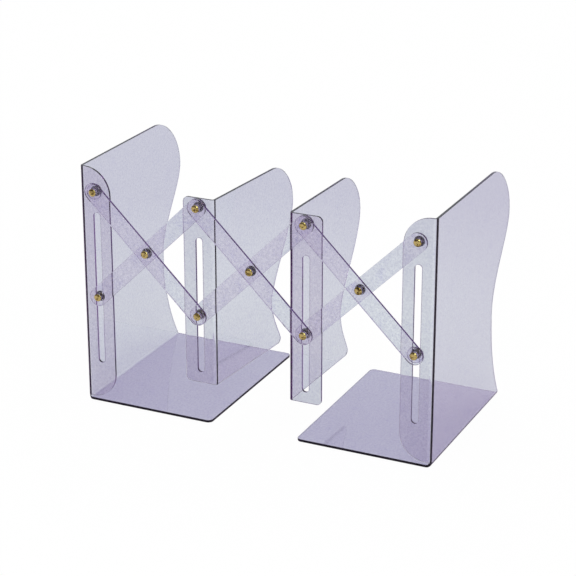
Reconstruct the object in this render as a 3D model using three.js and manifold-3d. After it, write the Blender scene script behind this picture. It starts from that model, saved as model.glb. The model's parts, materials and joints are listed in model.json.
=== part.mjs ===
// Expandable book rack of clear sheet plastic: two bent end sheets that stand on their own floor
// plates, two bent dividers that hang between them, and a lazy-tongs chain of six flat bars that
// carries the dividers and lets the ends be pulled apart. Eleven two-part rivets are the pivots.
//
// Millimetres and degrees. +X runs along the shelf from the left end to the right end, +Y runs back
// over the floor plates, +Z is up. The floor is z = 0. While the sheets are built, y = 0 is the
// front face of the front flanges; the whole rack is centred on the origin at the end.

import * as THREE from 'three';
import { mergeVertices } from 'three/addons/utils/BufferGeometryUtils.js';
import Module from 'manifold-3d';

const wasm = await Module();
wasm.setup();

// Sheet stock and bends
const sheetThickness = 2;
const foldRadius = 2; // outside of each bend
const layerGap = 0.3; // air between sheets that slide over one another

// Lazy-tongs chain. The bars are as long as the ends' height lets them be.
const uprightPinHeight = 51.2; // of the lower rivets when the bars stand upright
const barWidth = 14;
const restAngleDeg = 44.4; // slope of the bars as the rack stands
const openAngleDeg = 12.8; // slope of the bars when the rack is pulled wide open
const crossNames = ['left', 'middle', 'right'];

// End sheets
const endHeight = 190;
const endFlangeWidth = 25;
const endFlangeLift = 1.5; // air between the flange and the floor plate
const endFlangeFootRadius = 21;
const pivotBelowTop = 18.2;
const pivotInset = 13.3; // from the fold to the middle of the rivets
const floorPlateLength = 107;
const floorPlateFoldCorner = 6;
const floorPlateFreeCorner = 4;
const panelFootCorner = 4; // rounds the panel off where the two bends would meet
const endBackEdge = {
  footDepth: 143,
  footSlant: 13,
  waistInset: 21, // the waist, the bulge and the end of the straight top, each from the foot
  bulgeOverhang: 10.5,
  topSetback: 30,
  waistHeightShare: 0.4,
  bulgeHeightShare: 0.78,
  footRiseShare: 0.3,
  waistDropShare: 0.4,
  waistRiseShare: 0.39,
  bulgeDropShare: 0.28,
};

// Dividers
const dividerAbovePivot = 6.7;
const dividerBelowSlot = 8.6;
const dividerFlangeWidth = 26;
const dividerCorner = 4;
const leftDividerLeanDeg = 4.3; // both panels lean towards the right end at the back
const rightDividerLeanDeg = 1.8;
const dividerBackEdge = {
  footDepth: 97,
  footSlant: 4,
  waistInset: 13,
  bulgeOverhang: 19.5,
  topSetback: 11,
  waistHeightShare: 0.257,
  bulgeHeightShare: 0.777,
  footRiseShare: 0.3,
  waistDropShare: 0.4,
  waistRiseShare: 0.29,
  bulgeDropShare: 0.34,
};
const topCornerShare = 0.5; // how far the top corner's curve is pulled out to its corner

// Slots in the flanges, which the lower rivets run in
const slotClearance = 0.55; // on each side of the rivet
const slotSpareBelow = 7.5; // left under the rivet when the bars stand upright
const endSlotExtraTop = 6.8; // the end slots reach further up and down than the dividers' slots
const endSlotExtraFoot = 8;

// Rivets
const shankRadius = 2.2;
const pivotClearance = 0.3;
const frontHeadRadius = 3;
const frontHeadHeight = 1.1;
const frontHeadRim = 0.35;
const rearCapRadius = 4;
const rearCapHeight = 1.6;
const rearCapRim = 0.7;
const rearCapEndWall = 0.6;
const pressClearance = 0.15;
const spacerRadius = 6;

// Facets
const roundSegments = 24;
const domeSteps = 3;
const curveSegments = 16;
const cutOverrun = 10; // how far a cutting solid reaches past what it cuts

// Places that follow from the sizes above
const degree = Math.PI / 180;
const restAngle = restAngleDeg * degree;
const upperPivotHeight = endHeight - pivotBelowTop;
const barPinSpan = upperPivotHeight - uprightPinHeight; // between the pivots at a bar's two ends
const pitch = barPinSpan * Math.cos(restAngle);
const pinDrop = barPinSpan * Math.sin(restAngle);
const lowerPivotHeight = upperPivotHeight - pinDrop;
const crossHeight = (upperPivotHeight + lowerPivotHeight) / 2;
const crossCount = crossNames.length;
const rackLength = 2 * pivotInset + crossCount * pitch;
const pivotHoleRadius = shankRadius + pivotClearance;
const slotRadius = shankRadius + slotClearance;
const rearSocketDepth = rearCapHeight - rearCapEndWall;
const backLayerFront = -layerGap - sheetThickness;
const frontLayerFront = backLayerFront - layerGap - sheetThickness;
const slotTop = upperPivotHeight - barPinSpan * Math.sin(openAngleDeg * degree) + slotRadius;
const slotFoot = uprightPinHeight - slotRadius - slotSpareBelow;
const dividerFoot = slotFoot - dividerBelowSlot;
const dividerTop = upperPivotHeight + dividerAbovePivot;

const clearSheet = { color: 0xc9c4d6, roughness: 0.12, metalness: 0, transparent: true, opacity: 0.45 };
const brass = { color: 0xb58f3c, roughness: 0.3, metalness: 1 };
const nickel = { color: 0x77767a, roughness: 0.3, metalness: 1 };

// A closed solid for cutting and joining, from a geometry whose faces point out.
function toSolid(geometry) {
  const bare = geometry.clone();
  bare.deleteAttribute('normal');
  bare.deleteAttribute('uv');
  const merged = mergeVertices(bare);
  return new wasm.Manifold(
    new wasm.Mesh({
      numProp: 3,
      vertProperties: new Float32Array(merged.attributes.position.array),
      triVerts: new Uint32Array(merged.index.array),
    }),
  );
}

function toGeometry(solid) {
  const mesh = solid.getMesh();
  const geometry = new THREE.BufferGeometry();
  geometry.setAttribute('position', new THREE.BufferAttribute(new Float32Array(mesh.vertProperties), 3));
  geometry.setIndex(new THREE.BufferAttribute(new Uint32Array(mesh.triVerts), 1));
  geometry.computeVertexNormals();
  return geometry;
}

function mirroredInX(geometry) {
  const mirrored = geometry.clone();
  mirrored.scale(-1, 1, 1);
  const index = mirrored.index.array;
  for (let corner = 0; corner < index.length; corner += 3) {
    [index[corner], index[corner + 1]] = [index[corner + 1], index[corner]];
  }
  mirrored.computeVertexNormals();
  return mirrored;
}

const axisX = new THREE.Vector3(1, 0, 0);
const axisY = new THREE.Vector3(0, 1, 0);
const axisZ = new THREE.Vector3(0, 0, 1);

// Prisms named by the plane that their outline is drawn in; each runs from one level to another
// along the third axis.
function prism(shape, from, to) {
  const geometry = new THREE.ExtrudeGeometry(shape, {
    depth: to - from,
    bevelEnabled: false,
    curveSegments,
  });
  return geometry.translate(0, 0, from);
}

function prismInXY(shape, fromZ, toZ) {
  return toSolid(prism(shape, fromZ, toZ));
}

function prismInXZ(shape, fromY, toY) {
  const basis = new THREE.Matrix4().makeBasis(axisX, axisZ, axisY.clone().negate());
  return toSolid(prism(shape, -toY, -fromY).applyMatrix4(basis));
}

function inYZ(geometry) {
  return geometry.applyMatrix4(new THREE.Matrix4().makeBasis(axisY, axisZ, axisX));
}

function prismInYZ(shape, fromX, toX) {
  return toSolid(inYZ(prism(shape, fromX, toX)));
}

// What a bend takes off the sharp outer corner at the origin of its plane.
function foldCutOutline() {
  const shape = new THREE.Shape();
  shape.moveTo(-cutOverrun, -cutOverrun);
  shape.lineTo(foldRadius, -cutOverrun);
  shape.lineTo(foldRadius, 0);
  shape.absarc(foldRadius, foldRadius, foldRadius, -Math.PI / 2, -Math.PI, true);
  shape.lineTo(-cutOverrun, foldRadius);
  shape.closePath();
  return shape;
}

// The wavy back edge of a panel, drawn upwards from the foot: in to a waist, out to a bulge and
// round a broad corner to the straight top.
function drawBackEdge(shape, edge, corner, foot, top) {
  const start = foot + corner;
  const waist = foot + (top - foot) * edge.waistHeightShare;
  const bulge = foot + (top - foot) * edge.bulgeHeightShare;
  const waistDepth = edge.footDepth - edge.waistInset;
  const bulgeDepth = edge.footDepth + edge.bulgeOverhang;
  const topDepth = edge.footDepth - edge.topSetback;
  shape.bezierCurveTo(
    edge.footDepth - edge.footSlant, start + (waist - start) * edge.footRiseShare,
    waistDepth, waist - (waist - start) * edge.waistDropShare,
    waistDepth, waist,
  );
  shape.bezierCurveTo(
    waistDepth, waist + (bulge - waist) * edge.waistRiseShare,
    bulgeDepth, bulge - (bulge - waist) * edge.bulgeDropShare,
    bulgeDepth, bulge,
  );
  shape.bezierCurveTo(
    bulgeDepth, bulge + (top - bulge) * topCornerShare,
    topDepth + (bulgeDepth - topDepth) * topCornerShare, top,
    topDepth, top,
  );
}

// Side view of an end panel, depth by height.
function endPanelOutline() {
  const edge = endBackEdge;
  const shape = new THREE.Shape();
  shape.absarc(panelFootCorner, panelFootCorner, panelFootCorner, Math.PI, 1.5 * Math.PI, false);
  shape.lineTo(edge.footDepth, 0);
  drawBackEdge(shape, edge, 0, 0, endHeight);
  shape.lineTo(0, endHeight);
  shape.closePath();
  return shape;
}

// Side view of a divider's panel, which starts inside the thickness of its flange.
function dividerPanelOutline() {
  const edge = dividerBackEdge;
  const inside = edge.footDepth - dividerCorner;
  const front = sheetThickness / 2;
  const shape = new THREE.Shape();
  shape.moveTo(front, dividerFoot);
  shape.lineTo(inside, dividerFoot);
  shape.absarc(inside, dividerFoot + dividerCorner, dividerCorner, -Math.PI / 2, 0, false);
  drawBackEdge(shape, edge, dividerCorner, dividerFoot, dividerTop);
  shape.lineTo(front, dividerTop);
  shape.closePath();
  return shape;
}

// Front view of an end flange: a strip with a large round corner above and below, clear of the
// floor plate at its foot.
function endFlangeOutline() {
  const foot = sheetThickness + endFlangeLift;
  const topRadius = endFlangeWidth - sheetThickness;
  const footStart = endFlangeWidth - endFlangeFootRadius;
  const shape = new THREE.Shape();
  shape.moveTo(0, foot);
  shape.lineTo(footStart, foot);
  shape.absarc(footStart, foot + endFlangeFootRadius, endFlangeFootRadius, -Math.PI / 2, 0, false);
  shape.absarc(sheetThickness, endHeight - topRadius, topRadius, 0, Math.PI / 2, false);
  shape.lineTo(0, endHeight);
  shape.closePath();
  return shape;
}

function dividerFlangeOutline() {
  const inside = dividerFlangeWidth - dividerCorner;
  const shape = new THREE.Shape();
  shape.moveTo(0, dividerFoot);
  shape.lineTo(inside, dividerFoot);
  shape.absarc(inside, dividerFoot + dividerCorner, dividerCorner, -Math.PI / 2, 0, false);
  shape.absarc(inside, dividerTop - dividerCorner, dividerCorner, 0, Math.PI / 2, false);
  shape.lineTo(0, dividerTop);
  shape.closePath();
  return shape;
}

function floorPlateOutline() {
  const back = endBackEdge.footDepth;
  const fold = floorPlateFoldCorner;
  const free = floorPlateFreeCorner;
  const shape = new THREE.Shape();
  shape.absarc(fold, fold, fold, Math.PI, 1.5 * Math.PI, false);
  shape.absarc(floorPlateLength - free, free, free, 1.5 * Math.PI, 2 * Math.PI, false);
  shape.absarc(floorPlateLength - free, back - free, free, 0, Math.PI / 2, false);
  shape.lineTo(0, back);
  shape.closePath();
  return shape;
}

// Upright slot for the lower rivet, seen from the front.
function slotOutline(foot, top) {
  const shape = new THREE.Shape();
  shape.absarc(pivotInset, foot + slotRadius, slotRadius, Math.PI, 2 * Math.PI, false);
  shape.absarc(pivotInset, top - slotRadius, slotRadius, 0, Math.PI, false);
  return shape;
}

function pivotHoleOutline() {
  const shape = new THREE.Shape();
  shape.absarc(pivotInset, upperPivotHeight, pivotHoleRadius, 0, 2 * Math.PI, false);
  return shape;
}

// Rounds the upright fold and cuts the pivot hole and the slot through the flange.
function finishFlange(sheet, foot, top) {
  const front = -cutOverrun;
  const back = sheetThickness + layerGap;
  return sheet
    .subtract(prismInXY(foldCutOutline(), -cutOverrun, endHeight + cutOverrun))
    .subtract(prismInXZ(slotOutline(foot, top), front, back))
    .subtract(prismInXZ(pivotHoleOutline(), front, back));
}

// End sheet with its fold at the left: side panel, front flange and floor plate, bent from one piece.
function endSheet() {
  const panel = prismInYZ(endPanelOutline(), 0, sheetThickness);
  const flange = prismInXZ(endFlangeOutline(), 0, sheetThickness);
  const plate = prismInXY(floorPlateOutline(), 0, sheetThickness);
  const floorFold = prismInXZ(foldCutOutline(), -cutOverrun, endBackEdge.footDepth + cutOverrun);
  const sheet = panel.add(flange).add(plate).subtract(floorFold);
  return toGeometry(finishFlange(sheet, slotFoot - endSlotExtraFoot, slotTop + endSlotExtraTop));
}

// Divider sheet with its fold at the left. The panel leans towards the flange by an angle, or away
// from it where the angle is negative, and turns about the line where the bend ends.
function dividerSheet(leanDeg) {
  const panel = inYZ(prism(dividerPanelOutline(), 0, sheetThickness));
  panel.translate(0, -foldRadius, 0);
  panel.rotateZ(-leanDeg * degree);
  panel.translate(0, foldRadius, 0);
  const flange = prismInXZ(dividerFlangeOutline(), 0, sheetThickness);
  return toGeometry(finishFlange(toSolid(panel).add(flange), slotFoot, slotTop));
}

// Flat bar with round ends and three holes, lying along X from its first pivot at the origin, its
// thickness along +Y.
function barStrip() {
  const radius = barWidth / 2;
  const shape = new THREE.Shape();
  shape.absarc(0, 0, radius, Math.PI / 2, 1.5 * Math.PI, false);
  shape.absarc(barPinSpan, 0, radius, -Math.PI / 2, Math.PI / 2, false);
  for (const across of [0, barPinSpan / 2, barPinSpan]) {
    const hole = new THREE.Path();
    hole.absarc(across, 0, pivotHoleRadius, 0, 2 * Math.PI, true);
    shape.holes.push(hole);
  }
  return toGeometry(prismInXZ(shape, 0, sheetThickness));
}

function ring(outerRadius, innerRadius, thickness) {
  const shape = new THREE.Shape();
  shape.absarc(0, 0, outerRadius, 0, 2 * Math.PI, false);
  const hole = new THREE.Path();
  hole.absarc(0, 0, innerRadius, 0, 2 * Math.PI, true);
  shape.holes.push(hole);
  return toGeometry(prismInXZ(shape, 0, thickness));
}

function lathed(profile) {
  const points = profile.map(([radius, along]) => new THREE.Vector2(radius, along));
  return toGeometry(toSolid(new THREE.LatheGeometry(points, roundSegments)));
}

// Front half of a rivet, turned about Y: a low dome with its underside at y = 0 and a solid shank
// that reaches back by a length.
function rivet(shankLength) {
  const profile = [[0, -frontHeadHeight]];
  for (let step = 1; step <= domeSteps; step += 1) {
    const angle = (step / domeSteps) * (Math.PI / 2);
    const rise = (frontHeadHeight - frontHeadRim) * Math.cos(angle);
    profile.push([frontHeadRadius * Math.sin(angle), -frontHeadRim - rise]);
  }
  profile.push([frontHeadRadius, 0], [shankRadius, 0], [shankRadius, shankLength], [0, shankLength]);
  return lathed(profile);
}

// Back half of a rivet: a cap with a blind socket that takes the end of the shank. Its front face
// is at y = 0.
function rearCap() {
  const socketRadius = shankRadius + pressClearance;
  const profile = [
    [0, rearSocketDepth],
    [socketRadius, rearSocketDepth],
    [socketRadius, 0],
    [rearCapRadius, 0],
  ];
  for (let step = 0; step <= domeSteps; step += 1) {
    const angle = (step / domeSteps) * (Math.PI / 2);
    const rise = (rearCapHeight - rearCapRim) * Math.sin(angle);
    profile.push([rearCapRadius * Math.cos(angle), rearCapRim + rise]);
  }
  return lathed(profile);
}

function addPiece(rack, name, geometry, finish) {
  const piece = new THREE.Mesh(geometry, new THREE.MeshStandardMaterial(finish));
  piece.name = name;
  rack.add(piece);
  return piece;
}

function addSheets(rack) {
  addPiece(rack, 'left_end_sheet', endSheet(), clearSheet);
  const rightEnd = addPiece(rack, 'right_end_sheet', mirroredInX(endSheet()), clearSheet);
  rightEnd.position.x = rackLength;
  const leftDivider = mirroredInX(dividerSheet(-leftDividerLeanDeg));
  addPiece(rack, 'left_divider_sheet', leftDivider, clearSheet).position.x = pitch + 2 * pivotInset;
  const rightDivider = addPiece(rack, 'right_divider_sheet', dividerSheet(rightDividerLeanDeg), clearSheet);
  rightDivider.position.x = (crossCount - 1) * pitch;
}

// In each cross the falling bar runs in the front layer, from an upper pivot down to the next lower
// one, and the rising bar runs behind it.
function addBars(rack) {
  crossNames.forEach((crossName, number) => {
    const start = pivotInset + number * pitch;
    const falling = addPiece(rack, `${crossName}_falling_bar`, barStrip(), clearSheet);
    falling.position.set(start, frontLayerFront, upperPivotHeight);
    falling.rotation.y = restAngle;
    const rising = addPiece(rack, `${crossName}_rising_bar`, barStrip(), clearSheet);
    rising.position.set(start, backLayerFront, lowerPivotHeight);
    rising.rotation.y = -restAngle;
  });
}

// Every pivot: its name, its place seen from the front, and the front and back of what it holds.
function pivots() {
  const columnNames = ['left_end', 'left_divider', 'right_divider', 'right_end'];
  const list = [];
  columnNames.forEach((columnName, number) => {
    const across = pivotInset + number * pitch;
    const isFirst = number === 0;
    const isLast = number === crossCount;
    list.push({
      name: `${columnName}_upper`,
      across,
      height: upperPivotHeight,
      front: isLast ? backLayerFront : frontLayerFront,
      back: sheetThickness,
      needsSpacer: isFirst,
    });
    list.push({
      name: `${columnName}_lower`,
      across,
      height: lowerPivotHeight,
      front: isFirst ? backLayerFront : frontLayerFront,
      back: sheetThickness,
      needsSpacer: isLast,
    });
  });
  crossNames.forEach((crossName, number) => {
    list.push({
      name: `${crossName}_cross`,
      across: pivotInset + number * pitch + pitch / 2,
      height: crossHeight,
      front: frontLayerFront,
      back: -layerGap,
      needsSpacer: false,
    });
  });
  return list;
}

// A spacer fills the back layer where the flange and a front bar meet with no bar between them.
function addRivets(rack) {
  for (const pivot of pivots()) {
    const headSeat = pivot.front - layerGap;
    const capSeat = pivot.back + layerGap;
    const shankLength = capSeat + rearSocketDepth - pressClearance - headSeat;
    const head = addPiece(rack, `${pivot.name}_rivet`, rivet(shankLength), brass);
    head.position.set(pivot.across, headSeat, pivot.height);
    const cap = addPiece(rack, `${pivot.name}_cap`, rearCap(), nickel);
    cap.position.set(pivot.across, capSeat, pivot.height);
    if (pivot.needsSpacer) {
      const washer = ring(spacerRadius, pivotHoleRadius, sheetThickness);
      const spacer = addPiece(rack, `${pivot.name}_spacer`, washer, clearSheet);
      spacer.position.set(pivot.across, backLayerFront, pivot.height);
    }
  }
}

const rack = new THREE.Group();
addSheets(rack);
addBars(rack);
addRivets(rack);
const frontmost = frontLayerFront - layerGap - frontHeadHeight;
const backmost = endBackEdge.footDepth + endBackEdge.bulgeOverhang;
rack.position.set(-rackLength / 2, -(frontmost + backmost) / 2, 0);

export default rack;
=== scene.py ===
import json
import math

import bmesh
import bpy
from mathutils import Matrix, Vector

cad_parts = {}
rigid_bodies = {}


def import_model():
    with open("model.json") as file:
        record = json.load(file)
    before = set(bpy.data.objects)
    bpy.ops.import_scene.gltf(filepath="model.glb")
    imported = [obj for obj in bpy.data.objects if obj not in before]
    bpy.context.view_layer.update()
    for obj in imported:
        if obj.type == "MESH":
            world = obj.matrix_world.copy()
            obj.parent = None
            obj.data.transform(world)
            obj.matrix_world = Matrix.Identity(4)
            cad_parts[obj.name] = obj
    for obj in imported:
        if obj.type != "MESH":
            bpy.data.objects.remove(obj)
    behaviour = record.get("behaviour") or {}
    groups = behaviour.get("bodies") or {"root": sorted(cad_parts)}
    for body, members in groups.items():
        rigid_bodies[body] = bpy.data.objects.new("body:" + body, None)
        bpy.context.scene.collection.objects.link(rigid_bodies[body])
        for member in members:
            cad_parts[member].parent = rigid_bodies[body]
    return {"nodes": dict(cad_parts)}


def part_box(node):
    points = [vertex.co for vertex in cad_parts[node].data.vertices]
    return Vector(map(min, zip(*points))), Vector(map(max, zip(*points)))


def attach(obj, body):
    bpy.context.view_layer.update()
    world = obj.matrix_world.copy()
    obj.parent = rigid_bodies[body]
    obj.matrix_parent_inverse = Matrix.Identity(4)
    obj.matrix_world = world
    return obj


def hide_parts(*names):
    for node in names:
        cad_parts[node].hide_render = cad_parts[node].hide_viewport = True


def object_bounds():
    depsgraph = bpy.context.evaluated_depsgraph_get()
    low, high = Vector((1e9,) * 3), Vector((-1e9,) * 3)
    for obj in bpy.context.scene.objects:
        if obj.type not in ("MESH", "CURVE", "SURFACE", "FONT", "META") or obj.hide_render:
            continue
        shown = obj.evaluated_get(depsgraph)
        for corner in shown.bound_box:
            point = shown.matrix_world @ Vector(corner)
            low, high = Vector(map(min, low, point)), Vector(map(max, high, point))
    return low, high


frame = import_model()
cadLow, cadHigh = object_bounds()
mm = 0.001
tiny = 0.01 * mm
print("frame loaded, box in mm", [round(side / mm, 1) for side in cadHigh - cadLow])


# Working by hand: picking up a piece, selecting by place, putting it down

def lookOnly():
    if bpy.context.object and bpy.context.object.mode != "OBJECT":
        bpy.ops.object.mode_set(mode="OBJECT")
    bpy.ops.object.select_all(action="DESELECT")


def takeUp(piece):
    lookOnly()
    piece.select_set(True)
    bpy.context.view_layer.objects.active = piece


def editing(piece):
    takeUp(piece)
    bpy.ops.object.mode_set(mode="EDIT")


def putDown(piece, name):
    takeUp(piece)
    piece.name = name
    piece.data.name = name
    bpy.ops.object.transform_apply(location=True, rotation=True, scale=True)
    return piece


def pickEdges(piece, wanted):  # both ends of an edge have to be where wanted says
    bpy.ops.mesh.select_mode(type="EDGE")
    bpy.ops.mesh.select_all(action="DESELECT")
    shape = bmesh.from_edit_mesh(piece.data)
    for edge in shape.edges:
        if all(wanted(corner.co) for corner in edge.verts):
            edge.select_set(True)
    bmesh.update_edit_mesh(piece.data)


def pickCorner(piece, place):
    bpy.ops.mesh.select_mode(type="VERT")
    bpy.ops.mesh.select_all(action="DESELECT")
    shape = bmesh.from_edit_mesh(piece.data)
    nearest = min(shape.verts, key=lambda corner: (corner.co - Vector(place)).length)
    nearest.select_set(True)
    bmesh.update_edit_mesh(piece.data)


def extrudeBy(x=0, y=0, z=0):
    bpy.ops.mesh.extrude_region_move(TRANSFORM_OT_translate={"value": (x, y, z)})


def applyModifier(piece, kind, name, **settings):
    takeUp(piece)
    modifier = piece.modifiers.new(name, kind)
    for setting, value in settings.items():
        setattr(modifier, setting, value)
    bpy.ops.object.modifier_apply(modifier=modifier.name)


def cutWith(piece, *tools):
    for tool in tools:
        applyModifier(piece, "BOOLEAN", "cut", operation="DIFFERENCE", solver="EXACT", object=tool)
        bpy.data.objects.remove(tool)


def addBox(low, high):  # a cube primitive stretched between two corners
    lookOnly()
    low, high = Vector(low), Vector(high)
    bpy.ops.mesh.primitive_cube_add(size=1, location=(low + high) / 2)
    bpy.context.object.scale = high - low
    return putDown(bpy.context.object, "box")


def addPlate(low, high):  # a plane primitive between two corners that share one coordinate
    lookOnly()
    low, high = Vector(low), Vector(high)
    size = high - low
    turn = {0: (0, math.pi / 2, 0), 1: (math.pi / 2, 0, 0), 2: (0, 0, 0)}
    thin = min(range(3), key=lambda axis: abs(size[axis]))
    sides = {0: (size.z, size.y), 1: (size.x, size.z), 2: (size.x, size.y)}
    bpy.ops.mesh.primitive_plane_add(size=1, location=(low + high) / 2, rotation=turn[thin])
    bpy.context.object.scale = (*map(abs, sides[thin]), 1)
    return putDown(bpy.context.object, "plate")


def splitAt(place, normal):
    bpy.ops.mesh.select_all(action="SELECT")
    bpy.ops.mesh.bisect(plane_co=place, plane_no=normal)


def closeShape():  # merges doubles, makes the normals agree and leaves edit mode
    bpy.ops.mesh.select_all(action="SELECT")
    bpy.ops.mesh.remove_doubles(threshold=tiny)
    bpy.ops.mesh.normals_make_consistent(inside=False)
    bpy.ops.object.mode_set(mode="OBJECT")


# Camera and light

viewPoint = {
    "position": (595.13, -1270.983, 637.261),
    "turnDeg": 25.305,  # round to the right of the front
    "downDeg": 21.308,
    "lens": 123.189,
    "sensorWidth": 36,
    "farthest": 50,  # metres
}


def placeCamera():
    lookOnly()
    place = Vector(viewPoint["position"]) * mm
    tilt = math.radians(90 - viewPoint["downDeg"])
    turn = math.radians(viewPoint["turnDeg"])
    bpy.ops.object.camera_add(location=place, rotation=(tilt, 0, turn))
    camera = bpy.context.object
    camera.name = "camera"
    camera.data.lens = viewPoint["lens"]
    camera.data.sensor_width = viewPoint["sensorWidth"]
    camera.data.clip_end = viewPoint["farthest"]
    bpy.context.scene.camera = camera


placeCamera()

studio = {
    "openColour": (1, 1, 1),  # the background past the rack
    "throughColour": (0.63, 0.66, 0.73),  # the dimmer background that shows through the plastic
    "roomLevel": 0.8,  # what lights a matt surface
    "mirrorDark": (0.13, 0.10, 0.18),  # the dim side of the room, in a mirror
    "mirrorBright": (0.70, 0.72, 0.78),
    "brightSide": (0.35, 0.6, 0.72),
    "brightBetween": (-0.45, 0.6),  # how far towards that side the room turns from dim to bright
    "floorSize": 9000,
    "floorGap": 0.08,  # under the rack's feet
    "paperOpen": (0.96, 0.96, 0.96),
    "paperThrough": (0.82, 1.0, 0.696),  # the floor through the plastic: its matt part
    "glowThrough": (0.60, 0.556, 0.883),  # and its glowing part
    "glowLevel": 1.39,
    "paintedFalloffThrough": (0.781, 0.751, 0.848),  # painted shade, a light fall-off: what both are multiplied by as far out as farFrom
    "farFrom": 500,  # from the rack's middle
    "paperMirrored": (0.55, 0.47, 0.62),  # the floor in a mirror
    "paperGlow": 0.97,  # share of the glowing part, seen openly
    "paperGlowThrough": 0.35,  # and through the plastic
    "lampAim": (0, 0, 90),
    "lamps": {
        "keyLamp": {"place": (900, -1500, 1700), "size": 700, "watts": 6},
        "frontLamp": {"place": (350, -1310, 730), "size": 500, "watts": 3},
        "backLamp": {"place": (-900, 1300, 1700), "size": 1200, "watts": 6},
    },
    "bounces": 32,  # enough for the walls of plastic that lie behind one another
    "glossyBounces": 16,
}
mixPorts = {"factor": 0, "first": 6, "second": 7, "result": 2}  # the colour sockets of a Mix node


def joined(tree, fromNode, output, toNode, port):
    tree.links.new(fromNode.outputs[output], toNode.inputs[port])


def added(tree, kind, **values):
    node = tree.nodes.new("ShaderNode" + kind)
    for port, value in values.items():
        if hasattr(node, port):
            setattr(node, port, value)
        else:
            node.inputs[port].default_value = value
    return node


def mixed(tree, factor, first, second):  # colours or linked outputs, by a linked factor
    mix = added(tree, "Mix", data_type="RGBA")
    tree.links.new(factor, mix.inputs[mixPorts["factor"]])
    for port, value in (("first", first), ("second", second)):
        socket = mix.inputs[mixPorts[port]]
        if isinstance(value, tuple):
            socket.default_value = (*value, 1)
        else:
            tree.links.new(value, socket)
    return mix.outputs[mixPorts["result"]]


def scaled(tree, fromRange, toRange, **values):
    node = added(tree, "MapRange", **values)
    for port, value in zip(("From Min", "From Max", "To Min", "To Max"), (*fromRange, *toRange)):
        node.inputs[port].default_value = value
    return node


def lightRoom():
    world = bpy.data.worlds.new("studioRoom")
    bpy.context.scene.world = world
    world.use_nodes = True
    tree = world.node_tree
    tree.nodes.clear()
    path = added(tree, "LightPath")
    place = added(tree, "TexCoord")
    facing = added(tree, "VectorMath", operation="DOT_PRODUCT")
    facing.inputs[1].default_value = Vector(studio["brightSide"]).normalized()
    joined(tree, place, "Generated", facing, 0)
    share = scaled(tree, studio["brightBetween"], (0, 1), interpolation_type="SMOOTHSTEP")
    joined(tree, facing, "Value", share, "Value")
    mirrored = mixed(tree, share.outputs["Result"], studio["mirrorDark"], studio["mirrorBright"])
    room = (studio["roomLevel"],) * 3
    inMirror = mixed(tree, path.outputs["Is Glossy Ray"], room, mirrored)
    through = mixed(tree, path.outputs["Is Transmission Ray"], inMirror, studio["throughColour"])
    seen = mixed(tree, path.outputs["Is Camera Ray"], through, studio["openColour"])
    back = added(tree, "Background")
    tree.links.new(seen, back.inputs["Color"])
    out = added(tree, "OutputWorld")
    joined(tree, back, "Background", out, "Surface")


# the floor's painted fall-off shade, as far out as farFrom
def paintedFalloff(colour):
    return tuple(part * share for part, share in zip(colour, studio["paintedFalloffThrough"]))


def layFloor():
    reach = studio["floorSize"] / 2 * mm
    low = cadLow.z - studio["floorGap"] * mm
    floor = addPlate((-reach, -reach, low), (reach, reach, low))
    floor.name = "studioFloor"
    paint = bpy.data.materials.new("floorPaper")
    paint.use_nodes = True
    tree = paint.node_tree
    tree.nodes.clear()
    path = added(tree, "LightPath")
    eye = path.outputs["Is Camera Ray"]
    matt = added(tree, "BsdfDiffuse")
    mirrorRay = path.outputs["Is Glossy Ray"]
    plasticRay = path.outputs["Is Transmission Ray"]
    mirrored = mixed(tree, mirrorRay, studio["paperOpen"], studio["paperMirrored"])
    place = added(tree, "TexCoord")
    away = added(tree, "VectorMath", operation="LENGTH")
    joined(tree, place, "Object", away, 0)
    far = scaled(tree, (0, studio["farFrom"] * mm), (0, 1))
    joined(tree, away, "Value", far, "Value")
    # the floor seen through the plastic, with painted fall-off shade further out
    litThrough, glowThrough = (
        mixed(tree, far.outputs["Result"], studio[part], paintedFalloff(studio[part]))
        for part in ("paperThrough", "glowThrough")
    )
    through = mixed(tree, plasticRay, mirrored, litThrough)
    tree.links.new(mixed(tree, eye, through, studio["paperOpen"]), matt.inputs["Color"])
    glow = added(tree, "Emission")
    tree.links.new(mixed(tree, eye, glowThrough, studio["openColour"]), glow.inputs["Color"])
    strength = scaled(tree, (0, 1), (studio["glowLevel"], 1))
    tree.links.new(eye, strength.inputs["Value"])
    joined(tree, strength, "Result", glow, "Strength")
    clear = mixed(tree, plasticRay, (0, 0, 0), (studio["paperGlowThrough"],) * 3)
    share = mixed(tree, eye, clear, (studio["paperGlow"],) * 3)
    mix = added(tree, "MixShader")
    tree.links.new(share, mix.inputs["Fac"])
    joined(tree, matt, "BSDF", mix, 1)
    joined(tree, glow, "Emission", mix, 2)
    out = added(tree, "OutputMaterial")
    joined(tree, mix, "Shader", out, "Surface")
    floor.data.materials.append(paint)


def hangLamps():
    aim = Vector(studio["lampAim"]) * mm
    for name, values in studio["lamps"].items():
        lookOnly()
        place = Vector(values["place"]) * mm
        turn = (aim - place).to_track_quat("-Z", "Y").to_euler()
        bpy.ops.object.light_add(type="AREA", location=place, rotation=turn)
        lamp = bpy.context.object
        lamp.name = name
        lamp.data.size = values["size"] * mm
        lamp.data.energy = values["watts"]
        lamp.visible_transmission = False  # or the cut walls glint with it


lightRoom()
layFloor()
hangLamps()
scene = bpy.context.scene
scene.view_settings.view_transform = "Standard"
scene.cycles.max_bounces = studio["bounces"]
scene.cycles.transmission_bounces = studio["bounces"]
scene.cycles.glossy_bounces = studio["glossyBounces"]
scene.cycles.use_denoising = True
print("camera, floor and light stand")


# Finishes

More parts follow.
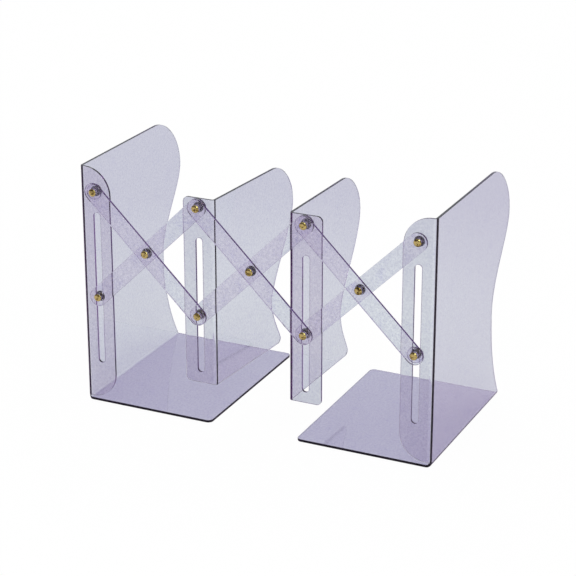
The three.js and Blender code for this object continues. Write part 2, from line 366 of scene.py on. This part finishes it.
plastic = {
    "ior": 1.49,
    "tint": (0.50, 0.0, 0.53),
    "density": 34,  # per metre
    "smooth": 0.012,
    "dull": 0.05,
    "dullBetween": (0.45, 0.8),  # levels of the wear noise
    "speckSize": 1.1,
    "speckColour": (0.80, 0.79, 0.93),
    "speckEdges": (0.25, 0.6),  # shares of a grade's speckShare: full speck, clear plastic
    "mottleBetween": (0.43, 0.56),  # levels of the grain noise: full mottle, clear plastic
    "patches": {"Scale": 90, "Detail": 2},  # noises, their scales per metre
    "grain": {"Scale": 520, "Detail": 2},
    "wear": {"Scale": 260, "Detail": 5, "Roughness": 0.7},
    "ripple": {"Scale": 45, "Detail": 1},
    "rippleHeight": 0.004,
}
plasticGrades = {  # the wall colour is painted shade: the dark line a cut wall shows in the light, painted onto its faces
    "clear_sheet": {
        "name": "tintedSheet",
        "speckShare": 0.22,
        "mottle": (0.91, 0.91, 0.94),
        "wall": (0.09, 0.035, 0.16),
    },
    "clear_bar": {
        "name": "tintedBar",
        "speckShare": 0.36,
        "mottle": (0.865, 0.865, 0.90),
        "wall": (0.16, 0.09, 0.26),
    },
}


def materialNamed(name):
    material = bpy.data.materials.new(name)
    material.use_nodes = True
    tree = material.node_tree
    tree.nodes.clear()
    shader = added(tree, "BsdfPrincipled")
    out = added(tree, "OutputMaterial")
    joined(tree, shader, "BSDF", out, "Surface")
    place = added(tree, "TexCoord")
    return material, tree, shader, place, out


def ramp(tree, stops):  # two stops, each a position and a colour
    node = added(tree, "ValToRGB")
    elements = node.color_ramp.elements
    for element, (position, colour) in zip(elements, stops):
        element.position = position
        element.color = (*colour, 1)
    return node


def multiplied(tree, *colours):
    product = colours[0]
    for colour in colours[1:]:
        mix = added(tree, "Mix", data_type="RGBA", blend_type="MULTIPLY")
        mix.inputs[mixPorts["factor"]].default_value = 1
        tree.links.new(product, mix.inputs[mixPorts["first"]])
        tree.links.new(colour, mix.inputs[mixPorts["second"]])
        product = mix.outputs[mixPorts["result"]]
    return product


def paintedShadeMix(tree, colour):  # white, and the given colour where a face is marked as deeper: the painted shade of cut walls and metal rims, and the flanges' set darkening
    marks = added(tree, "Attribute", attribute_name="deepened")
    return mixed(tree, marks.outputs["Fac"], (1, 1, 1), colour)


def tintedPlastic(grade):
    material, tree, shader, place, out = materialNamed(grade["name"])
    shader.inputs["Transmission Weight"].default_value = 1
    shader.inputs["IOR"].default_value = plastic["ior"]
    absorb = added(tree, "VolumeAbsorption")
    absorb.inputs["Color"].default_value = (*plastic["tint"], 1)
    absorb.inputs["Density"].default_value = plastic["density"]
    joined(tree, absorb, "Volume", out, "Volume")

    # fine specks held in the sheet
    specks = added(tree, "TexVoronoi", Scale=1 / (plastic["speckSize"] * mm))
    joined(tree, place, "Object", specks, "Vector")
    patches = added(tree, "TexNoise", **plastic["patches"])
    joined(tree, place, "Object", patches, "Vector")
    spread = added(tree, "Math", operation="MULTIPLY")
    joined(tree, specks, "Distance", spread, 0)
    joined(tree, patches, "Fac", spread, 1)
    speck, clear = (grade["speckShare"] * share for share in plastic["speckEdges"])
    dots = ramp(tree, [(speck, plastic["speckColour"]), (clear, (1, 1, 1))])
    joined(tree, spread, "Value", dots, "Fac")

    # a faint mottle
    grain = added(tree, "TexNoise", **plastic["grain"])
    joined(tree, place, "Object", grain, "Vector")
    mottled, clear = plastic["mottleBetween"]
    mottle = ramp(tree, [(mottled, grade["mottle"]), (clear, (1, 1, 1))])
    joined(tree, grain, "Fac", mottle, "Fac")
    # painted shade on the cut walls, and a little of it on the flanges
    walls = paintedShadeMix(tree, grade["wall"])
    colour = multiplied(tree, dots.outputs["Color"], mottle.outputs["Color"], walls)
    tree.links.new(colour, shader.inputs["Base Color"])

    # handling marks
    wear = added(tree, "TexNoise", **plastic["wear"])
    joined(tree, place, "Object", wear, "Vector")
    haze = scaled(tree, plastic["dullBetween"], (plastic["smooth"], plastic["dull"]))
    joined(tree, wear, "Fac", haze, "Value")
    joined(tree, haze, "Result", shader, "Roughness")
    ripple = added(tree, "TexNoise", **plastic["ripple"])
    joined(tree, place, "Object", ripple, "Vector")
    lift = added(tree, "Bump", Distance=plastic["rippleHeight"] * mm, Strength=1)
    joined(tree, ripple, "Fac", lift, "Height")
    joined(tree, lift, "Normal", shader, "Normal")
    return material


metals = {
    "rivet_brass": {
        "name": "wornBrass",
        "light": (0.84, 0.74, 0.22),
        "deep": (0.24, 0.175, 0.035),
        "deepBelow": 0.38,  # levels of the patch noise: darker patches on brass, painted reflection streaks on nickel
        "lightAbove": 0.50,
        "rim": (0.36, 0.30, 0.14),  # painted shade: what the rim, turned away from the front and back, is multiplied by
        "smooth": 0.06,
        "dull": 0.20,
        "grain": 0.012,
    },
    "cap_nickel": {
        "name": "polishedNickel",
        # painted reflection: the patch noise turns the nickel into bright and near-black streaks,
        # standing in for what it mirrors
        "light": (0.52, 0.52, 0.50),
        "deep": (0.02, 0.02, 0.025),
        "deepBelow": 0.48,
        "lightAbove": 0.62,
        # painted shade on the turned-away rim
        "rim": (0.22, 0.22, 0.24),
        "smooth": 0.06,
        "dull": 0.18,
        "grain": 0.006,
    },
}
metalNoises = {
    "patchesAndPaintedStreaks": {"Scale": 420, "Detail": 4, "Roughness": 0.6},
    "rub": {"Scale": 900, "Detail": 3},
}


def turnedMetal(values):
    material, tree, shader, place, _ = materialNamed(values["name"])
    shader.inputs["Metallic"].default_value = 1
    # darker patches on brass; on nickel, painted reflection streaks
    patchesAndPaintedStreaks = added(tree, "TexNoise", **metalNoises["patchesAndPaintedStreaks"])
    joined(tree, place, "Object", patchesAndPaintedStreaks, "Vector")
    stops = [(values["deepBelow"], values["deep"]), (values["lightAbove"], values["light"])]
    colour = ramp(tree, stops)
    joined(tree, patchesAndPaintedStreaks, "Fac", colour, "Fac")
    # the patch colour with the painted rim shade over it
    patchedAndShaded = multiplied(tree, colour.outputs["Color"], paintedShadeMix(tree, values["rim"]))
    tree.links.new(patchedAndShaded, shader.inputs["Base Color"])
    rub = added(tree, "TexNoise", **metalNoises["rub"])
    joined(tree, place, "Object", rub, "Vector")
    haze = scaled(tree, (0, 1), (values["smooth"], values["dull"]))
    joined(tree, rub, "Fac", haze, "Value")
    joined(tree, haze, "Result", shader, "Roughness")
    lift = added(tree, "Bump", Distance=values["grain"] * mm, Strength=1)
    joined(tree, rub, "Fac", lift, "Height")
    joined(tree, lift, "Normal", shader, "Normal")
    return material


finishes = {slot: tintedPlastic(grade) for slot, grade in plasticGrades.items()}
finishes.update({slot: turnedMetal(values) for slot, values in metals.items()})
print("finishes mixed")


def bodyOf(node):
    return frame["nodes"][node].parent.name.split(":")[1]


def fitted(piece, node, slot):  # the finished piece stands for a node of the frame
    piece.data.materials.clear()
    piece.data.materials.append(finishes[slot])
    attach(piece, bodyOf(node))
    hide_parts(node)


def middleOf(node):
    low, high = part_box(node)
    return (low + high) / 2


# Bent sheets

stock = {
    "thickness": 2,
    "foldRadius": 3.1,  # outside of each bend
    "foldSteps": 8,
    "cornerSteps": 14,
    "drillSides": 56,
    "foldCornerSides": 112,
    "edgeRound": 0.22,  # what flame polishing takes off the cut edges
    "edgeSteps": 2,
    "flatDeg": 0.3,  # faces that meet at less than this are one
    "roundAboveDeg": 40,  # edges sharper than this are rounded
    "smoothBelowDeg": 50,
    "flatWeight": 80,  # how firmly large faces keep their shading flat
    "waveSteps": 22,
    "waveUnder": 0.3,  # how far the wave tool reaches below a sheet's foot
    "waveAside": 0.2,  # and how far behind the foot it starts where that has no round corner
    "quarterPullShare": 0.448,  # of a quarter circle's handles, from its corner
    "overrun": 6,
    "wallShare": 1.25,  # of the thickness: a face with more plastic behind it is a cut wall
    "flangeDepth": 0.08,  # how far the flanges' flat front and back faces are darkened towards the walls' painted shade colour
}
slots = {
    "rivetClearance": 0.55,
    "pivotHole": 2.5,  # radius
    "shankRadius": 2.2,
    "spareBelow": 7.5,  # of a slot, below where upright bars would put the rivet
    "openDeg": 12.8,  # slope of the bars when the rack is pulled wide open
    "endExtraTop": 6.8,  # how much longer the slots of the two ends are
    "endExtraFoot": 8,
}
thick = stock["thickness"] * mm
half = thick / 2
bend = stock["foldRadius"] * mm
over = stock["overrun"] * mm
drillDepth = 2 * over

upperPivot = middleOf("left_end_upper_rivet")
nextLower = middleOf("left_divider_lower_rivet")
span = math.hypot(nextLower.x - upperPivot.x, nextLower.z - upperPivot.z)
slope = math.atan2(upperPivot.z - nextLower.z, nextLower.x - upperPivot.x)
slotRadius = (slots["shankRadius"] + slots["rivetClearance"]) * mm
slotTop = upperPivot.z - span * math.sin(math.radians(slots["openDeg"])) + slotRadius
slotFoot = upperPivot.z - span - slotRadius - slots["spareBelow"] * mm


def deepen(piece, depthOf):  # keeps on each face how far its colour is deepened, from 0 to 1: the mark for painted shade, and for the flanges' set darkening
    marks = piece.data.attributes.new("deepened", "FLOAT", "FACE")
    marks.data.foreach_set("value", [depthOf(face) for face in piece.data.polygons])


def paintWallShade(piece, frontDepth):  # paints shade on the cut walls, found by how much plastic lies straight behind a face; flat flange faces get the set frontDepth darkening
    bpy.context.view_layer.update()
    shape = piece.data
    shape.calc_loop_triangles()
    spots = {}  # a place on each face, off its holes: the middle of its largest triangle
    for triangle in sorted(shape.loop_triangles, key=lambda triangle: triangle.area):
        spots[triangle.polygon_index] = triangle.center

    def depthOf(face):
        inward = -face.normal
        spot = Vector(spots[face.index])
        found, place, _, _ = piece.ray_cast(spot + inward * tiny, inward)
        behind = (place - spot).length if found else over
        # a cut wall takes the full painted shade
        if behind > stock["wallShare"] * thick:
            return 1
        return frontDepth if abs(face.normal.y) > 1 - tiny else 0

    deepen(piece, depthOf)


def polish(piece, frontDepth=0):  # cleans the cut faces, rounds the edges, keeps the flats flat and paints shade on the cut walls
    editing(piece)
    bpy.ops.mesh.select_all(action="SELECT")
    bpy.ops.mesh.remove_doubles(threshold=tiny)
    bpy.ops.mesh.dissolve_limited(angle_limit=math.radians(stock["flatDeg"]))
    applyModifier(
        piece, "BEVEL", "polishedEdges", width=stock["edgeRound"] * mm, segments=stock["edgeSteps"],
        limit_method="ANGLE", angle_limit=math.radians(stock["roundAboveDeg"]),
        use_clamp_overlap=False,
    )
    takeUp(piece)
    bpy.ops.object.shade_smooth_by_angle(angle=math.radians(stock["smoothBelowDeg"]))
    flatness = stock["flatWeight"]
    applyModifier(piece, "WEIGHTED_NORMAL", "flatFaces", keep_sharp=True, weight=flatness)
    paintWallShade(piece, frontDepth)


def giveThickness(sheet):  # to both sides of the surface that was bent
    applyModifier(sheet, "SOLIDIFY", "wall", thickness=thick, offset=0, use_even_offset=True)
    editing(sheet)
    bpy.ops.mesh.select_all(action="SELECT")
    bpy.ops.mesh.normals_make_consistent(inside=False)
    bpy.ops.object.mode_set(mode="OBJECT")


def roundStrip(low, high):  # a strip along Z or X with full round ends, seen from the front
    strip = addBox(low, high)
    low, high = Vector(low), Vector(high)
    radius = min(high.x - low.x, high.z - low.z) / 2
    editing(strip)
    bpy.ops.mesh.select_mode(type="EDGE")
    bpy.ops.mesh.select_all(action="DESELECT")
    shape = bmesh.from_edit_mesh(strip.data)
    for edge in shape.edges:
        first, second = (corner.co for corner in edge.verts)
        if abs(first.y - second.y) > tiny:
            edge.select_set(True)
    bmesh.update_edit_mesh(strip.data)
    bpy.ops.mesh.bevel(offset=radius, segments=stock["cornerSteps"], affect="EDGES")
    bpy.ops.mesh.select_all(action="SELECT")
    bpy.ops.mesh.remove_doubles(threshold=tiny)
    bpy.ops.object.mode_set(mode="OBJECT")
    return strip


def drill(place, radius, depth):  # a round tool along Y
    lookOnly()
    bpy.ops.mesh.primitive_cylinder_add(
        vertices=stock["drillSides"], radius=radius, depth=depth,
        location=place, rotation=(math.pi / 2, 0, 0),
    )
    return putDown(bpy.context.object, "drill")


def flangeTools(across, front, foot, top):  # the slot and the pivot hole of one flange
    slot = roundStrip(
        (across - slotRadius, front - over, foot),
        (across + slotRadius, front + thick + over, top),
    )
    hole = drill((across, front, upperPivot.z), slots["pivotHole"] * mm, drillDepth)
    return slot, hole


def waveTool(edge, foot, top, corner, standing):  # everything behind the wavy back edge
    depth = edge["footDepth"] * mm
    waist = foot + (top - foot) * edge["waistHeightShare"]
    bulge = foot + (top - foot) * edge["bulgeHeightShare"]
    start = foot + corner
    waistDepth = depth - edge["waistInset"] * mm
    bulgeDepth = depth + edge["bulgeOverhang"] * mm
    topDepth = depth - edge["topSetback"] * mm
    far = bulgeDepth + over
    below = foot - stock["waveUnder"] * mm
    lastDepth = depth - corner if corner else depth + stock["waveAside"] * mm
    pull = corner * stock["quarterPullShare"]
    points = []  # each point with its two handles, upwards along the edge and back behind it
    if corner:
        inner = depth - corner
        points.append(((inner, foot), (inner, foot), (depth - pull, foot)))
    points.append((
        (depth, start), (depth, start - (corner - pull)),
        (depth - edge["footSlant"] * mm, start + (waist - start) * edge["footRiseShare"]),
    ))
    points.append((
        (waistDepth, waist), (waistDepth, waist - (waist - start) * edge["waistDropShare"]),
        (waistDepth, waist + (bulge - waist) * edge["waistRiseShare"]),
    ))
    points.append((
        (bulgeDepth, bulge), (bulgeDepth, bulge - (bulge - waist) * edge["bulgeDropShare"]),
        (bulgeDepth, (bulge + top) / 2),
    ))
    points.append(((topDepth, top), ((topDepth + bulgeDepth) / 2, top), (topDepth, top)))
    for place in [(topDepth, top + over), (far, top + over), (far, below), (lastDepth, below)]:
        points.append((place, place, place))

    lookOnly()
    bpy.ops.curve.primitive_bezier_curve_add(location=(0, 0, 0))
    tool = bpy.context.object
    outline = tool.data
    outline.dimensions = "2D"
    outline.fill_mode = "BOTH"
    outline.resolution_u = stock["waveSteps"]
    outline.extrude = half + over / 2
    spline = outline.splines[0]
    spline.bezier_points.add(len(points) - len(spline.bezier_points))
    for knot, (place, before, after) in zip(spline.bezier_points, points):
        # a vector handle keeps a side straight
        knot.handle_left_type = "VECTOR" if before == place else "FREE"
        knot.handle_right_type = "VECTOR" if after == place else "FREE"
        knot.co = (*place, 0)
        knot.handle_left = (*before, 0)
        knot.handle_right = (*after, 0)
    spline.use_cyclic_u = True
    bpy.ops.object.convert(target="MESH")
    tool = bpy.context.object
    # drawn flat with depth along X and height along Y, then stood up with depth to Y, height to Z
    upright = Matrix(((0, 0, 1, 0), (1, 0, 0, 0), (0, 1, 0, 0), (0, 0, 0, 1)))
    tool.matrix_world = standing @ upright
    putDown(tool, "waveTool")
    editing(tool)
    closeShape()
    return tool


endPanel = {
    "height": 190,
    "flangeWidth": 25,
    "flangeFoot": 3.5,
    "flangeTopRadius": 23,
    "flangeFootRadius": 21,
    "plateLength": 107,
    "plateFreeCorner": 4,
    "plateFoldCorner": 6,
    "foldCornerShare": 0.8,  # of that radius, how far the corner's centre stands inside the fold
    "cornerSpare": 0.4,  # flat left between a round corner and the next bend
    "footDepth": 143,
    "footSlant": 13,
    "waistInset": 21,
    "bulgeOverhang": 10.5,
    "topSetback": 30,
    "waistHeightShare": 0.4,
    "bulgeHeightShare": 0.78,
    "footRiseShare": 0.3,
    "waistDropShare": 0.4,
    "waistRiseShare": 0.39,
    "bulgeDropShare": 0.28,
}


def foldCornerTool(fold, front, foot, side):  # all outside the round corner below the upright bend
    radius = endPanel["plateFoldCorner"] * mm
    aside = radius * endPanel["foldCornerShare"]
    outer = Vector((fold - side * over, front - over, foot - over))
    height = foot + bend + endPanel["cornerSpare"] / 2 * mm
    inner = Vector((fold + side * aside, front + radius, height))
    tool = addBox(map(min, outer, inner), map(max, outer, inner))
    lookOnly()
    bpy.ops.mesh.primitive_cylinder_add(
        vertices=stock["foldCornerSides"], radius=radius, depth=2 * drillDepth,
        location=(inner.x, inner.y, foot),
    )
    cutWith(tool, putDown(bpy.context.object, "kept"))
    return tool


def bentEnd(node, side):  # side is +1 where the plate runs to the right of the fold
    values = endPanel
    low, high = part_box(node)
    fold = low.x if side > 0 else high.x
    front = low.y
    foot = low.z
    top = foot + values["height"] * mm
    middle = fold + side * half  # of the panel's thickness
    back = front + values["footDepth"] * mm
    bulge = back + values["bulgeOverhang"] * mm
    flangeFoot = foot + values["flangeFoot"] * mm

    # the side panel, a little deeper than its bulge
    sheet = addPlate((middle, front + bend, foot + bend), (middle, back, top))
    editing(sheet)
    pickEdges(sheet, lambda co: co.y > back - tiny)
    extrudeBy(y=bulge + over / 2 - back)
    splitAt((0, 0, flangeFoot), (0, 0, 1))

    # the upright bend and the flange
    pickEdges(sheet, lambda co: co.y < front + bend + tiny and co.z > flangeFoot - tiny)
    bpy.ops.mesh.spin(
        steps=stock["foldSteps"], angle=-side * math.pi / 2,
        center=(fold + side * bend, front + bend, 0), axis=(0, 0, 1),
    )
    extrudeBy(x=side * (values["flangeWidth"] * mm - bend))

    # the bend at the floor and the plate, whose front edges come out flush with the flange
    pickEdges(sheet, lambda co: co.z < foot + bend + tiny and co.y < back + tiny)
    bpy.ops.mesh.spin(
        steps=stock["foldSteps"], angle=side * math.pi / 2,
        center=(fold + side * bend, 0, foot + bend), axis=(0, 1, 0),
    )
    extrudeBy(x=side * (values["plateLength"] * mm - bend))
    pickEdges(sheet, lambda co: co.z < foot + bend + tiny and co.y < front + bend + tiny)
    extrudeBy(y=-bend)
    bpy.ops.mesh.select_all(action="SELECT")
    bpy.ops.mesh.dissolve_limited(angle_limit=math.radians(stock["flatDeg"]))

    # round corners
    flangeEdge = fold + side * values["flangeWidth"] * mm
    plateEdge = fold + side * values["plateLength"] * mm
    flangeLimit = values["flangeWidth"] * mm - bend - values["cornerSpare"] * mm
    for place, radius in [
        ((flangeEdge, front + half, top), min(values["flangeTopRadius"] * mm, flangeLimit)),
        ((flangeEdge, front + half, flangeFoot), min(values["flangeFootRadius"] * mm, flangeLimit)),
        ((plateEdge, front, foot + half), values["plateFreeCorner"] * mm),
        ((plateEdge, back, foot + half), values["plateFreeCorner"] * mm),
    ]:
        pickCorner(sheet, place)
        bpy.ops.mesh.bevel(offset=radius, segments=stock["cornerSteps"], affect="VERTICES")
    closeShape()
    giveThickness(sheet)

    # the cuts
    across = fold + side * (upperPivot.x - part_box("left_end_sheet")[0].x)
    standing = Matrix.Translation((middle, front, 0))
    wave = waveTool(values, foot + bend, top, 0, standing)
    slotTools = flangeTools(
        across, front, slotFoot - slots["endExtraFoot"] * mm, slotTop + slots["endExtraTop"] * mm,
    )
    cutWith(sheet, wave, *slotTools, foldCornerTool(fold, front, foot, side))
    polish(sheet, stock["flangeDepth"])
    putDown(sheet, node + "_bent")
    fitted(sheet, node, "clear_sheet")


divider = {
    "flangeWidth": 26,
    "corner": 4,
    "leanDeg": {"left": 4.3, "right": 1.8},  # both panels lean towards the right end at the back
    "footDepth": 97,
    "footSlant": 4,
    "waistInset": 13,
    "bulgeOverhang": 19.5,
    "topSetback": 11,
    "waistHeightShare": 0.257,
    "bulgeHeightShare": 0.777,
    "footRiseShare": 0.3,
    "waistDropShare": 0.4,
    "waistRiseShare": 0.29,
    "bulgeDropShare": 0.34,
}


def bentDivider(name, side):  # side is +1 where the flange runs to the right of the fold
    values = divider
    node = name + "_divider_sheet"
    across = middleOf(name + "_divider_upper_rivet").x
    low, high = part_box(node)
    front, foot, top = low.y, low.z, high.z
    fold = across - side * (upperPivot.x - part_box("left_end_sheet")[0].x)
    lean = math.radians(values["leanDeg"][name])
    corner = values["corner"] * mm
    flangeEdge = fold + side * values["flangeWidth"] * mm
    depth = (values["footDepth"] + values["bulgeOverhang"]) * mm + over / 2 - bend

    sheet = addPlate((fold + side * bend, front + half, foot), (flangeEdge, front + half, top))
    editing(sheet)
    for height in (foot, top):
        pickCorner(sheet, (flangeEdge, front + half, height))
        bpy.ops.mesh.bevel(offset=corner, segments=stock["cornerSteps"], affect="VERTICES")
    pickEdges(sheet, lambda co: abs(co.x - fold - side * bend) < tiny)
    turn = math.pi / 2 + side * lean
    bpy.ops.mesh.spin(
        steps=stock["foldSteps"], angle=side * turn,
        center=(fold + side * bend, front + bend, 0), axis=(0, 0, 1),
    )
    extrudeBy(x=math.sin(lean) * depth, y=math.cos(lean) * depth)
    closeShape()
    giveThickness(sheet)

    pivot = Vector((fold + side * bend, front + bend, 0))
    standing = (
        Matrix.Translation(pivot) @ Matrix.Rotation(-lean, 4, "Z")
        @ Matrix.Translation((-side * (bend - half), -bend, 0))
    )
    wave = waveTool(values, foot, top, corner, standing)
    cutWith(sheet, wave, *flangeTools(across, front, slotFoot, slotTop))
    polish(sheet, stock["flangeDepth"])
    putDown(sheet, node + "_bent")
    fitted(sheet, node, "clear_sheet")


bentEnd("left_end_sheet", 1)
bentEnd("right_end_sheet", -1)
bentDivider("left", -1)
bentDivider("right", 1)
print("sheets bent and cut")


# Lazy-tongs bars: one is made and copied

bar = {
    "width": 14,
    "holeShares": (-0.5, 0, 0.5),  # of the span between the end pivots, from the middle
}


def flatBar():
    reach = span / 2 + bar["width"] / 2 * mm
    wide = bar["width"] / 2 * mm
    strip = roundStrip((-reach, -half, -wide), (reach, half, wide))
    hole = slots["pivotHole"] * mm
    holes = [drill((span * share, 0, 0), hole, drillDepth) for share in bar["holeShares"]]
    cutWith(strip, *holes)
    polish(strip)
    return strip


def hangBars():
    pattern = flatBar()
    for crossName in ("left", "middle", "right"):
        for kind, tilt in (("falling", slope), ("rising", -slope)):
            node = f"{crossName}_{kind}_bar"
            lookOnly()
            copy = pattern.copy()
            copy.data = pattern.data.copy()
            scene.collection.objects.link(copy)
            copy.matrix_world = Matrix.Translation(middleOf(node)) @ Matrix.Rotation(tilt, 4, "Y")
            putDown(copy, node + "_polished")
            fitted(copy, node, "clear_bar")
    bpy.data.objects.remove(pattern)


hangBars()
print("bars hung")


# Rivets and caps: rings drawn out from one another along the pin

rivet = {
    "headRadius": 3,
    "headHeight": 1.1,
    "headRim": 0.2,
    "dimpleRadius": 1.2,
    "dimpleDepth": 0.3,
    "dimpleShares": (0.12, 0.4, 0.6, 0.8),  # of its radius, where its rings lie
    "sides": 64,
    "domeSteps": 9,
    "rimRound": 0.12,
    "smoothBelowDeg": 35,
    "rimShadeFade": 1.25,  # a larger one leaves less of the rim in painted shade
}
cap = {
    "radius": 4,
    "height": 1.6,
    "rim": 0.7,
    "crown": 0.25,
    "endWall": 0.6,
    "pressClearance": 0.15,
}


def drawnOut(profile):  # rings of a radius at a place along Y, from the first to the last
    radius, along = profile[0]
    lookOnly()
    bpy.ops.mesh.primitive_circle_add(
        vertices=rivet["sides"], radius=radius * mm, fill_type="NGON",
        location=(0, along * mm, 0), rotation=(math.pi / 2, 0, 0),
    )
    piece = putDown(bpy.context.object, "turned")
    editing(piece)
    bpy.ops.mesh.select_all(action="SELECT")
    for (radius, along), (nextRadius, nextAlong) in zip(profile, profile[1:]):
        extrudeBy(y=(nextAlong - along) * mm)
        growth = nextRadius / radius
        centre = (0, nextAlong * mm, 0)
        bpy.ops.transform.resize(value=(growth, 1, growth), center_override=centre)
    bpy.ops.mesh.select_all(action="SELECT")
    bpy.ops.mesh.normals_make_consistent(inside=False)
    bpy.ops.object.mode_set(mode="OBJECT")
    return piece


def domeRings(radius, rim, height, crown):  # from the crown's radius down to the rim
    rings = []
    steps = rivet["domeSteps"]
    start = math.asin(crown / radius)
    for step in range(steps + 1):
        angle = start + (math.pi / 2 - start) * step / steps
        rings.append((radius * math.sin(angle), rim + (height - rim) * math.cos(angle)))
    return rings


def rivetHead(shankLength):
    dimple = rivet["dimpleRadius"]
    dome = domeRings(rivet["headRadius"], rivet["headRim"], rivet["headHeight"], dimple)
    lip = dome[0][1]
    bowl = [
        (dimple * share, lip - rivet["dimpleDepth"] * (1 - share * share))
        for share in rivet["dimpleShares"]
    ]
    rings = [(radius, -rise) for radius, rise in bowl + dome]
    head, shank, edge = rivet["headRadius"], slots["shankRadius"], rivet["rimRound"]
    rings += [(head, -edge), (head - edge, 0)]
    rings += [(shank, 0), (shank, shankLength - edge), (shank - edge, shankLength)]
    return drawnOut(rings)


def rearCap():
    socket = slots["shankRadius"] + cap["pressClearance"]
    depth = cap["height"] - cap["endWall"]
    wide, edge = cap["radius"], rivet["rimRound"]
    rings = [(socket, depth), (socket, 0), (wide - edge, 0), (wide, edge)]
    dome = domeRings(cap["radius"], cap["rim"], cap["height"], cap["crown"])
    return drawnOut(rings + dome[::-1])


def setPin(piece, node, place, slot):
    piece.matrix_world = Matrix.Translation(place)
    putDown(piece, node + "_turned")
    takeUp(piece)
    bpy.ops.object.shade_smooth_by_angle(angle=math.radians(rivet["smoothBelowDeg"]))
    # paints shade on the faces turned away from the pin's axis: the darker rim
    deepen(piece, lambda face: 1 - min(1, face.normal.y ** 2 * rivet["rimShadeFade"]))
    fitted(piece, node, slot)


def setPins():
    names = [name[:-len("_rivet")] for name in frame["nodes"] if name.endswith("_rivet")]
    for name in sorted(names):
        low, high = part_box(name + "_rivet")
        middle = (low + high) / 2
        seat = low.y + rivet["headHeight"] * mm
        pin = rivetHead((high.y - seat) / mm)
        setPin(pin, name + "_rivet", (middle.x, seat, middle.z), "rivet_brass")
        low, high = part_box(name + "_cap")
        middle = (low + high) / 2
        setPin(rearCap(), name + "_cap", (middle.x, low.y, middle.z), "cap_nickel")


setPins()


def spacer(node):  # as wide and thick as its node
    low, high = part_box(node)
    middle = (low + high) / 2
    disc = drill(middle, (high.x - low.x) / 2, high.y - low.y)
    cutWith(disc, drill(middle, slots["pivotHole"] * mm, drillDepth))
    polish(disc)
    putDown(disc, node + "_polished")
    fitted(disc, node, "clear_bar")


spacer("left_end_upper_spacer")
spacer("right_end_lower_spacer")
print("rivets, caps and spacers set")
